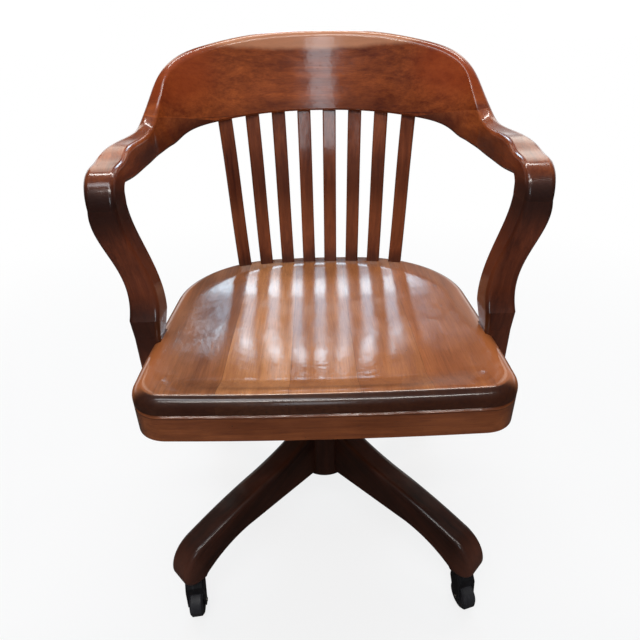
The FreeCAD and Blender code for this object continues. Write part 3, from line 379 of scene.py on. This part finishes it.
# Crest rail and arms: grain across the crest, and along each swept arm and post
GLUE_LINE_Z, GLUE_LINE_HALF = 0.7165, 0.0006
dress("crest_rail", wood(
    "crest_wood", ALONG_X, *CREST, 1,
    stains=(
        ((-0.225, 0.13, 0.79), (0.07, 0.08, 0.05), 0.5, CREST_END_LEFT, 0.6),
        ((0.225, 0.13, 0.79), (0.07, 0.08, 0.05), 0.5, CREST_END_RIGHT, 0.65),
        # Painted shade along the crest's lower edge, over the slats
        ((0.0, 0.20, 0.722), (0.25, 0.05, 0.018), 0.5, PAINTED_SHADE, 0.35),
        # Painted highlight along the crest's rounded top edge
        ((0.0, 0.20, 0.845), (0.27, 0.12, 0.031), 0.14, CREST_TOP_PAINTED_HIGHLIGHT, 0.75),
    ),
    lines=((2, GLUE_LINE_Z, GLUE_LINE_HALF),), coat=0.12, figure=1.15,
))
for side, name in SIDES:
    dress(name + "_arm", wood(
        name + "_arm_wood", (side * 0.12, 1, 0.1), *ARM, 3 + side,
        stains=(
            # Painted shade low on the shoulder and along the arm's lower inner side, then patina on the
            # knuckle
            ((side * 0.17, 0.17, 0.69), (0.10, 0.07, 0.034), 0.35, PAINTED_SHADE, 0.9),
            ((side * 0.24, 0.06, 0.675), (0.03, 0.10, 0.02), 0.5, PAINTED_SHADE, 0.6),
            ((side * 0.27, -0.142, 0.645), (0.07, 0.040, 0.036), 0.75, PATINA_AND_SHADE, 0.95),
            ((side * 0.27, -0.10, 0.648), (0.07, 0.06, 0.018), 0.6, PATINA_AND_SHADE, 0.8),
        ),
        coat=0.13, worn=0.35, figure=1.15,
    ))
    dress(name + "_arm_post", wood(
        name + "_post_wood", (side * 0.12, 0.02, 1), *POST, 6 + side,
        stains=(
            ((side * 0.27, -0.12, 0.64), (0.07, 0.06, 0.030), 0.75, PATINA_AND_SHADE, 0.92),
            # Painted shade on the post's lower front, which faces down below the knee
            ((side * 0.25, -0.14, 0.475), (0.06, 0.05, 0.045), 0.5, PATINA_AND_SHADE, 0.55 - 0.2 * side),
            ((side * 0.222, -0.10, 0.58), (0.012, 0.05, 0.07), 0.5, POST_WAIST, 0.6),
        ),
        coat=0.13, worn=0.3,
    ))

# Slats: grain along each, fanned out from the middle pair
for index in range(1, SLATS + 1):
    low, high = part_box(f"back_slat_{index}")
    middle = (low.x + high.x) / 2
    lean = 0.01 * (index - (SLATS + 1) / 2)
    dress(f"back_slat_{index}", wood(
        f"slat_wood_{index}", (lean, 0.06, 1), *SLAT, 10 + index,
        stains=(
            # Painted shade in the slats' middles and at their feet, and painted light on their lower
            # parts
            ((middle, 0.19, 0.60), (0.03, 0.05, 0.05), 0.6, PATINA_AND_SHADE, 0.25 + 0.05 * (index % 4)),
            ((middle, 0.16, 0.455), (0.05, 0.05, 0.02), 0.5, PATINA_AND_SHADE, 0.5),
            ((middle, 0.175, 0.53), (0.03, 0.06, 0.045), 0.6, SLAT_LOW_PAINTED_LIGHT, 0.3),
        ),
        worn=0.4,
    ))

# Seat boards: each its own shade, rubbed at the sides, with painted shade at the rear by the slats'
# feet, and dark on the front roll
BOARD_JOINTS = (-0.131, -0.044, 0.042, 0.130)
BOARD_JOINT_HALF = 0.0003
ROLL_START = -0.225
SEAT_STAINS = (
    ((-0.238, -0.02, 0.457), (0.020, 0.24, 0.016), 0.5, RUBBED, 0.7),
    ((0.238, -0.02, 0.457), (0.020, 0.24, 0.016), 0.5, RUBBED, 0.7),
    ((-0.235, -0.19, 0.45), (0.03, 0.06, 0.04), 0.5, RUBBED, 0.6),
    ((0.235, -0.19, 0.45), (0.03, 0.07, 0.04), 0.5, RUBBED, 0.6),
    # Painted shade along the rear, by the slats' feet
    ((0.0, 0.170, 0.455), (0.20, 0.016, 0.02), 0.5, PAINTED_SHADE, 0.7),
    ((-0.168, -0.03, 0.45), (0.042, 0.10, 0.03), 0.6, DULL, 0.4),
)
board_woods = {}
for index, shades in enumerate(BOARDS, 1):
    own_joints = BOARD_JOINTS[max(index - 2, 0):index]
    board_woods[f"seat_board_{index}"] = wood(
        f"seat_wood_{index}", ALONG_Y, *shades, 20 + index,
        stains=SEAT_STAINS, pits=0.9, lines=[(0, x, BOARD_JOINT_HALF) for x in own_joints],
        coat=0.11, worn=0.0, figure=0.95, roll=(ROLL_START, ROLL),
    )

# Skirt and battens
SKIRT_LINES = ((2, 0.4252, 0.0007),)
skirt_side = wood("skirt_wood_side", ALONG_Y, *SKIRT, 31, pits=0.8, lines=SKIRT_LINES)
batten = wood("batten_wood", ALONG_X, *BATTEN, 33, pits=0.6)
dress("skirt_front_rail", wood(
    "skirt_wood_front", ALONG_X, *SKIRT, 30,
    # Painted shade at the front rail's ends, under the seat's corners
    stains=[((side * 0.25, -0.22, 0.41), (0.025, 0.06, 0.06), 0.5, PAINTED_SHADE, 0.7) for side, _ in SIDES],
    pits=0.8, lines=SKIRT_LINES,
))
dress("skirt_rear_rail", wood("skirt_wood_rear", ALONG_X, *SKIRT, 32, pits=0.8, lines=SKIRT_LINES))
dress("skirt_left_rail", skirt_side)
dress("skirt_right_rail", skirt_side)
dress("front_batten", batten)
dress("rear_batten", batten)

# Hub and legs: nearly black, partly as painted shade under the seat, and duller, with painted light
# making the legs' upper parts a redder brown
dress("hub", wood("hub_wood", ALONG_Z, *LEG, 40, coat=0.12, gloss=0.6))
for index, (name, x, y) in enumerate(CORNERS):
    dress(name + "_leg", wood(
        name + "_leg_wood", (x, y, -0.62), *LEG, 41 + index,
        stains=(
            # Painted light on the legs' upper parts, near the hub
            ((x * 0.145, y * 0.145, 0.215), (0.10, 0.10, 0.032), 0.5, LEG_TOP_PAINTED_LIGHT, 0.8),
            ((x * 0.235, y * 0.235, 0.10), (0.035, 0.035, 0.045), 0.6, LEG_END, 0.5),
        ),
        coat=0.14, gloss=0.5,
    ))

# Metal and tread
iron = metal(
    "black_iron", colour(34, 32, 33), colour(120, 108, 98),
    metallic=0.55, rough=(0.42, 0.62), grit=0.0002, worn=0.7, rust=0.35,
)
steel = metal(
    "worn_steel", colour(120, 114, 108), colour(190, 184, 176),
    metallic=1.0, rough=(0.28, 0.46), grit=0.00006, worn=0.6, rust=0.3,
)
spring_steel = metal(
    "spring_steel", colour(52, 48, 46), colour(150, 140, 130),
    metallic=0.9, rough=(0.32, 0.5), grit=0.00008, worn=0.5, rust=0.45,
)
caster_metal = metal(
    "caster_metal", colour(23, 22, 25), colour(88, 84, 88),
    metallic=0.4, rough=(0.36, 0.54), grit=0.00012, worn=0.6, rust=0.1,
)
tread = metal(
    "caster_tread", colour(30, 29, 34), colour(92, 90, 98),
    metallic=0.0, rough=(0.42, 0.6), grit=0.00025, worn=0.5,
)
IRON_NODES = ("seat_iron", "spindle_yoke", "height_wheel", "hub_sleeve", "tension_knob")
STEEL_NODES = (
    "height_screw", "pivot_pin", "bolt_eye_pin", "tension_bolt", "spring_washer", "thrust_washer"
)
for node in IRON_NODES:
    dress(node, iron)
for node in STEEL_NODES:
    dress(node, steel)
dress("tilt_spring", spring_steel)
dress("caster_sockets", caster_metal)
for corner, _, _ in CORNERS:
    dress(corner + "_caster_fork", caster_metal)
    dress(corner + "_caster_axle", steel)
    dress(corner + "_caster_wheel", tread)


# Pieces made as meshes
def ring_faces(rings, around):
    """Four-sided faces between closed rings of points, which are numbered ring after ring."""
    faces = []
    for j in range(rings - 1):
        for k in range(around):
            a = j * around + k
            b = j * around + (k + 1) % around
            faces.append((a, b, b + around, a + around))
    return faces


def piece_from(name, vertices, faces, body, material):
    """A new smooth mesh piece that rides on a body."""
    mesh = bpy.data.meshes.new(name)
    mesh.from_pydata(vertices, [], faces)
    mesh.validate()
    mesh.update()
    for polygon in mesh.polygons:
        polygon.use_smooth = True
    mesh.materials.append(material)
    made = bpy.data.objects.new(name, mesh)
    scene.collection.objects.link(made)
    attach(made, body)
    return made


# Height screw
THREAD_CREST, THREAD_ROOT, THREAD_PITCH = 0.01245, 0.0104, 0.00635
SHANK_FROM = 0.281
TIP_RADIUS, TIP_SLOPE, TOP_EDGE = THREAD_ROOT - 0.001, 1.2, 0.001
THREAD_FLAT = 0.55


def thread_radius(z, turn, low_z, high_z):
    """Radius of the screw at a height and a share of a turn, bevelled at both ends."""
    phase = (z / THREAD_PITCH - turn) % 1.0
    depth = min(max(abs(phase - 0.5) * 4 - THREAD_FLAT, 0.0), 1.0)
    radius = THREAD_CREST
    if z <= SHANK_FROM:
        radius -= (THREAD_CREST - THREAD_ROOT) * depth
    from_tip = TIP_RADIUS + (z - low_z) * TIP_SLOPE
    from_top = TIP_RADIUS + (high_z - z) * TIP_SLOPE + TOP_EDGE
    return min(radius, from_tip, from_top)


def threaded_screw():
    """The height screw with its trapezoidal thread, plain where it stands in the yoke."""
    low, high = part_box("height_screw")
    around, per_turn = 40, 10
    count = int((high.z - low.z) / THREAD_PITCH * per_turn) + 1
    levels = [low.z + i * THREAD_PITCH / per_turn for i in range(count)]
    levels.append(high.z)
    vertices = []
    for z in levels:
        for k in range(around):
            angle = 2 * math.pi * k / around
            radius = thread_radius(z, k / around, low.z, high.z)
            vertices.append((radius * math.cos(angle), radius * math.sin(angle), z))
    faces = ring_faces(len(levels), around)
    faces.append(tuple(reversed(range(around))))
    faces.append(tuple(range((len(levels) - 1) * around, len(levels) * around)))
    made = piece_from("threaded_screw", vertices, faces, "spindle", steel)
    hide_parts("height_screw")


threaded_screw()

# Tension spring
SPRING_WIRE, SPRING_MEAN = 0.0025, 0.0135
SPRING_TURNS, SPRING_FLAT_ENDS = 5, 0.12
SPRING_SHARP_EDGE = math.radians(50)


def coil_spring():
    """The tension spring as one round wire."""
    low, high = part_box("tilt_spring")
    centre_y = (low.y + high.y) / 2
    climb = high.z - low.z - 2 * SPRING_WIRE
    per_turn, around = 44, 12
    steps = SPRING_TURNS * per_turn
    vertices = []
    for step in range(steps + 1):
        share = step / steps
        angle = 2 * math.pi * SPRING_TURNS * share
        rise = share - SPRING_FLAT_ENDS * math.sin(2 * math.pi * share)
        z = low.z + SPRING_WIRE + climb * rise
        for k in range(around):
            turn = 2 * math.pi * k / around
            radius = SPRING_MEAN + SPRING_WIRE * math.cos(turn)
            vertices.append((
                radius * math.cos(angle),
                centre_y + radius * math.sin(angle),
                z + SPRING_WIRE * math.sin(turn),
            ))
    # The rings run the other way round than those of the screw, so the faces are turned over
    faces = [(a, d, c, b) for a, b, c, d in ring_faces(steps + 1, around)]
    faces.append(tuple(range(around)))
    faces.append(tuple(reversed(range(steps * around, (steps + 1) * around))))
    made = piece_from("round_wire_spring", vertices, faces, "spindle", spring_steel)
    made.data.set_sharp_from_angle(angle=SPRING_SHARP_EDGE)
    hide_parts("tilt_spring")
    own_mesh(made)


coil_spring()

# Seat: outline, heights and hollow. The front is towards -Y.
SEAT_HALF, SEAT_FRONT, SEAT_REAR = 0.240, 0.262, 0.192
FRONT_CORNER, FRONT_BOW, FRONT_BOW_RISE = 0.044, 4.804, 0.004
REAR_CORNER, REAR_BOW = 0.170, 0.834
SEAT_ROUND = 0.017
RIM, UNDER, GROOVE = 0.457, 0.429, 0.002
RIM_FALL, RIM_FALL_UNIT, RIM_FALL_FROM = 0.006, 0.1, 1.62
HOLLOW, DIP, DIP_FROM, DIP_LONG = 0.018, 0.0009, 0.125, 0.065
HOLLOW_HALF, HOLLOW_REAR, HOLLOW_FLARE, HOLLOW_EASE = 0.206, 0.147, 0.15, 0.0009
FLARE_FROM, SQUARER, SQUARER_LONG = 0.06, 0.7, 0.14
LIP_FROM, LIP_LONG = 0.200, 0.052
SEAT_CENTRE = (0, -0.03)
# A board that reaches past this has its outer side there and no joint
OUTER_FROM = SEAT_HALF - 0.005
SHARP_EDGE = math.radians(35)

# Notch for an arm post: its depth from the side, its ends in Y, and how far the cutter stands over
NOTCH_DEEP = 0.014
NOTCH_ENDS = (-0.1305, -0.0925)
CUTTER_OUT, CUTTER_OVER = 0.02, 0.01


def smooth(value):
    """Smooth step from 0 to 1."""
    held = min(max(value, 0.0), 1.0)
    return held * held * (3 - 2 * held)


def saddle(x, y):
    """Height of the sitting surface: an oval hollow with a raised lip along the front."""
    rim = RIM - RIM_FALL * max(-y / RIM_FALL_UNIT - RIM_FALL_FROM, 0) ** 2
    floor = RIM - HOLLOW - DIP * smooth((-y - DIP_FROM) / DIP_LONG)
    half = HOLLOW_HALF + HOLLOW_FLARE * max(-y - FLARE_FROM, 0)
    power = 2 + SQUARER * smooth((-y - FLARE_FROM) / SQUARER_LONG)
    across = math.hypot(x / half, max(y, 0) / HOLLOW_REAR) ** power
    # The edge of the hollow is eased over a few millimetres
    inside = 0.5 * (1 - across + math.sqrt((1 - across) ** 2 + HOLLOW_EASE))
    lip = 1 - smooth((-y - LIP_FROM) / LIP_LONG)
    return rim - (rim - floor) * inside * lip


def seat_plan(inset):
    """Outline of the seat moved inward: bowed front, straight sides and a broad D at the rear."""
    front_turn = math.degrees(math.asin((SEAT_HALF - FRONT_CORNER) / FRONT_BOW))
    reach = REAR_BOW - REAR_CORNER
    corner_x = SEAT_HALF - REAR_CORNER
    bow_y = SEAT_REAR - REAR_BOW
    corner_y = bow_y + math.sqrt(reach ** 2 - corner_x ** 2)
    rear_turn = math.degrees(math.asin(corner_x / reach))
    front_x = SEAT_HALF - FRONT_CORNER
    front_y = FRONT_CORNER - SEAT_FRONT + FRONT_BOW_RISE
    # Centre, radius, start, end and steps, and where a straight side after the arc ends, if one follows
    arcs = (
        ((0, FRONT_BOW - SEAT_FRONT), FRONT_BOW, -90 - front_turn, -90 + front_turn, 56, None),
        ((front_x, front_y), FRONT_CORNER, -90, 0, 14, corner_y),
        ((corner_x, corner_y), REAR_CORNER, 0, 90 - rear_turn, 40, None),
        ((0, bow_y), REAR_BOW, 90 - rear_turn, 90 + rear_turn, 22, None),
        ((-corner_x, corner_y), REAR_CORNER, 90 + rear_turn, 180, 40, front_y),
        ((-front_x, front_y), FRONT_CORNER, 180, 270, 14, None),
    )
    side_steps = 30
    points = []
    for (centre_x, centre_y), radius, start, end, steps, side_end in arcs:
        for step in range(steps):
            turn = math.radians(start + (end - start) * step / steps)
            points.append((
                centre_x + (radius - inset) * math.cos(turn),
                centre_y + (radius - inset) * math.sin(turn),
            ))
        if side_end is not None:
            side_x = math.copysign(SEAT_HALF - inset, centre_x)
            for k in range(side_steps):
                points.append((side_x, centre_y + (side_end - centre_y) * k / side_steps))
    return points


def whole_seat():
    """The seat as one closed mesh: groove, side, rounded edge, then rings over the sitting surface."""
    inner = seat_plan(SEAT_ROUND)
    rings = [
        [(x, y, UNDER) for x, y in seat_plan(GROOVE)],
        [(x, y, UNDER + GROOVE) for x, y in seat_plan(0)],
    ]
    round_steps = 10
    for step in range(round_steps + 1):
        turn = math.pi / 2 * step / round_steps
        plan = seat_plan(SEAT_ROUND * (1 - math.cos(turn)))
        drop = SEAT_ROUND * (1 - math.sin(turn))
        rings.append([(x, y, saddle(*within) - drop) for (x, y), within in zip(plan, inner)])
    middle_x, middle_y = SEAT_CENTRE
    inner_rings = 56
    for ring in range(1, inner_rings):
        share = 1 - ring / inner_rings
        points = []
        for x, y in inner:
            near_x = middle_x + (x - middle_x) * share
            near_y = middle_y + (y - middle_y) * share
            points.append((near_x, near_y, saddle(near_x, near_y)))
        rings.append(points)
    around = len(inner)
    vertices = [point for ring in rings for point in ring]
    vertices.append((middle_x, middle_y, saddle(middle_x, middle_y)))
    faces = ring_faces(len(rings), around)
    last = (len(rings) - 1) * around
    faces += [(last + k, last + (k + 1) % around, len(vertices) - 1) for k in range(around)]
    faces.append(tuple(reversed(range(around))))
    return vertices, faces


def cut_board(vertices, faces, low_x, high_x):
    """The part of the seat between two joints, closed along them."""
    mesh = bpy.data.meshes.new("cut")
    mesh.from_pydata(vertices, [], faces)
    shape = bmesh.new()
    shape.from_mesh(mesh)
    bpy.data.meshes.remove(mesh)
    for place, away in ((low_x, -1), (high_x, 1)):
        if abs(place) > OUTER_FROM:
            continue
        everything = shape.verts[:] + shape.edges[:] + shape.faces[:]
        cut = bmesh.ops.bisect_plane(
            shape, geom=everything, plane_co=(place, 0, 0), plane_no=(away, 0, 0), clear_outer=True
        )
        rim = [item for item in cut["geom_cut"] if isinstance(item, bmesh.types.BMEdge)]
        bmesh.ops.contextual_create(shape, geom=rim)
    bmesh.ops.recalc_face_normals(shape, faces=shape.faces[:])
    return shape


def notch_for_post(board, side):
    """Take the arm post's foot out of an outer board."""
    corners = [
        (side * x, y, z)
        for x in (SEAT_HALF - NOTCH_DEEP, SEAT_HALF + CUTTER_OUT)
        for y in NOTCH_ENDS
        for z in (UNDER - CUTTER_OVER, RIM + CUTTER_OVER)
    ]
    faces = [(0, 1, 3, 2), (4, 6, 7, 5), (0, 4, 5, 1), (2, 3, 7, 6), (0, 2, 6, 4), (1, 5, 7, 3)]
    if side < 0:
        faces = [tuple(reversed(face)) for face in faces]
    mesh = bpy.data.meshes.new("notch")
    mesh.from_pydata(corners, [], faces)
    cutter = bpy.data.objects.new("notch", mesh)
    scene.collection.objects.link(cutter)
    cut = board.modifiers.new("notch", "BOOLEAN")
    cut.object = cutter
    cut.operation = "DIFFERENCE"
    cut.solver = "EXACT"
    bpy.context.view_layer.update()
    evaluated = board.evaluated_get(bpy.context.evaluated_depsgraph_get())
    shaped = bpy.data.meshes.new_from_object(evaluated)
    board.modifiers.remove(cut)
    board.data = shaped
    bpy.data.objects.remove(cutter)


def make_boards():
    """Five boards cut from the seat, each in place of its plain CAD board."""
    vertices, faces = whole_seat()
    notched_side = {1: -1, len(BOARDS): 1}
    for index in range(1, len(BOARDS) + 1):
        name = f"seat_board_{index}"
        low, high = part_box(name)
        shape = cut_board(vertices, faces, low.x, high.x)
        mesh = bpy.data.meshes.new("dished_" + name)
        shape.to_mesh(mesh)
        shape.free()
        made = bpy.data.objects.new("dished_" + name, mesh)
        scene.collection.objects.link(made)
        if index in notched_side:
            notch_for_post(made, notched_side[index])
        for polygon in made.data.polygons:
            polygon.use_smooth = True
        made.data.set_sharp_from_angle(angle=SHARP_EDGE)
        made.data.materials.clear()
        made.data.materials.append(board_woods[name])
        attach(made, "seat")
        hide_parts(name)


make_boards()

# Floor and world
FLOOR_HALF = 14.0
FLOOR_PALE = (0.74, 0.74, 0.75, 1)
FLOOR_MIRRORED = (0.055, 0.045, 0.04, 1)
WHITE = (1, 1, 1, 1)
SKY = (0.95, 0.97, 1.0, 1)
SKY_STRENGTH, ROOM_STRENGTH = 0.42, 0.03


def stage_floor():
    """Pale floor, whiter to the camera and fully white far off; polished pieces mirror it dimmer."""
    h = FLOOR_HALF
    mesh = bpy.data.meshes.new("floor")
    mesh.from_pydata([(-h, -h, 0), (h, -h, 0), (h, h, 0), (-h, h, 0)], [], [(0, 1, 2, 3)])
    floor = bpy.data.objects.new("floor", mesh)
    scene.collection.objects.link(floor)
    r = Recipe(bpy.data.materials.new("floor_paint"))
    seen, mirrored = r.ray_kinds()
    white_share = r.span(r.vector("LENGTH", r.place), 0.6, 2.2, 0.78, 1.0)
    matt = r.add("ShaderNodeBsdfDiffuse", {"Color": r.mix(mirrored, FLOOR_PALE, FLOOR_MIRRORED)})
    glow = r.add("ShaderNodeEmission", {"Color": WHITE, "Strength": 1.0})
    both = r.add(
        "ShaderNodeMixShader",
        {0: r.times(seen, white_share), 1: matt.outputs[0], 2: glow.outputs[0]},
    )
    r.add("ShaderNodeOutputMaterial", {"Surface": both.outputs[0]})
    mesh.materials.append(r.owner)


def light_world():
    """White to the camera, a soft sky to the surfaces, and a darker room in what they mirror."""
    scene.world = bpy.data.worlds.new("studio")
    r = Recipe(scene.world)
    seen, mirrored = r.ray_kinds()
    way = r.parts(r.way)
    behind = r.span(way["Y"], 0.25, 0.6)
    # Mirrored behind the chair: a pale wall low on both sides, and a dimmer, higher one on the right
    low_wall = r.times(r.span(way["Z"], 0.0, 0.03), r.span(way["Z"], 0.22, 0.34, 1.15, 0.0))
    low_wall = r.times(low_wall, r.span(r.maths("ABSOLUTE", way["X"]), 0.26, 0.38))
    right_wall = r.times(r.span(way["X"], 0.10, 0.32), r.span(way["Z"], 0.60, 0.75, 0.45, 0.0))
    walls = r.maths("MAXIMUM", low_wall, right_wall)
    room = r.maths("MULTIPLY_ADD", behind, walls, ROOM_STRENGTH)
    shown = r.add("ShaderNodeBackground", {"Color": WHITE, "Strength": r.maths("MAXIMUM", seen, room)})
    sky = r.add("ShaderNodeBackground", {"Color": SKY, "Strength": SKY_STRENGTH})
    both = r.add(
        "ShaderNodeMixShader",
        {0: r.maths("MAXIMUM", seen, mirrored), 1: sky.outputs[0], 2: shown.outputs[0]},
    )
    r.add("ShaderNodeOutputWorld", {"Surface": both.outputs[0]})


stage_floor()
light_world()

# Lamps: windows behind, beside and before the chair, two ceiling tubes and a skylight
BLUE, COOL, WARM = (0.52, 0.78, 1.0), (0.74, 0.90, 1.0), (1.0, 0.97, 0.93)
DAYLIGHT, CLEAR_SKY, SUNNY = (0.82, 0.92, 1.0), (0.90, 0.95, 1.0), (1.0, 0.92, 0.80)
SEAT_MIDDLE = (0, 0, 0.45)
# Name, place, what it faces, width, height, watts and colour
LAMPS = (
    ("back_window", (0.0, 3.2, 2.68), SEAT_MIDDLE, 0.90, 1.50, 16, BLUE),
    ("back_pane", (0.0, 3.15, 2.80), SEAT_MIDDLE, 0.80, 0.50, 7.5, COOL),
    ("tube_rear", (0, 0.7, 2.8), (0, 0.7, 0), 2.6, 0.20, 30, WARM),
    ("tube_front", (0, -2.0, 2.8), (0, -0.5, 0.5), 2.6, 0.20, 30, WARM),
    ("skylight", (-0.7, -1.35, 3.05), (-0.1, -0.1, 0.7), 1.6, 0.5, 15, CLEAR_SKY),
    ("left_window", (-1.75, 2.6, 2.9), (-0.27, 0, 0.69), 0.8, 2.2, 8.5, SUNNY),
    ("right_window", (1.75, 2.6, 2.9), (0.27, 0, 0.69), 0.8, 2.2, 8.5, SUNNY),
    ("front_window", (-0.08, -2.9, 1.75), (0, 0, 0.7), 0.55, 0.9, 7.5, DAYLIGHT),
)
for name, place, aim, wide, high, watts, tint in LAMPS:
    data = bpy.data.lights.new(name, "AREA")
    data.shape = "RECTANGLE"
    data.size = wide
    data.size_y = high
    data.energy = watts
    data.color = tint
    lamp = bpy.data.objects.new(name, data)
    scene.collection.objects.link(lamp)
    lamp.location = place
    lamp.rotation_euler = (Vector(aim) - Vector(place)).to_track_quat("-Z", "Y").to_euler()
    lamp.visible_camera = False

# Camera, fitted to the photograph: degrees, millimetres and metres
PITCH, YAW, ROLL_ANGLE = -28.4186, 0.3661, -1.269
LENS, SENSOR = 27.092, 36
CAMERA_PLACE = (-0.007768, -0.7074, 0.797259)


def aim_camera():
    """Camera at the photograph's place."""
    pitch, yaw, roll = (math.radians(angle) for angle in (PITCH, YAW, ROLL_ANGLE))
    level = math.cos(pitch)
    forward = Vector((math.sin(yaw) * level, math.cos(yaw) * level, math.sin(pitch)))
    right = Vector((math.cos(yaw), -math.sin(yaw), 0))
    up = right.cross(forward)
    rolled_right = math.cos(roll) * right + math.sin(roll) * up
    rolled_up = -math.sin(roll) * right + math.cos(roll) * up
    data = bpy.data.cameras.new("camera")
    data.sensor_width = SENSOR
    data.lens = LENS
    camera = bpy.data.objects.new("camera", data)
    scene.collection.objects.link(camera)
    turned = Matrix((rolled_right, rolled_up, -forward)).transposed().to_4x4()
    camera.matrix_world = Matrix.Translation(CAMERA_PLACE) @ turned
    scene.camera = camera


aim_camera()
scene.view_settings.view_transform = "Standard"
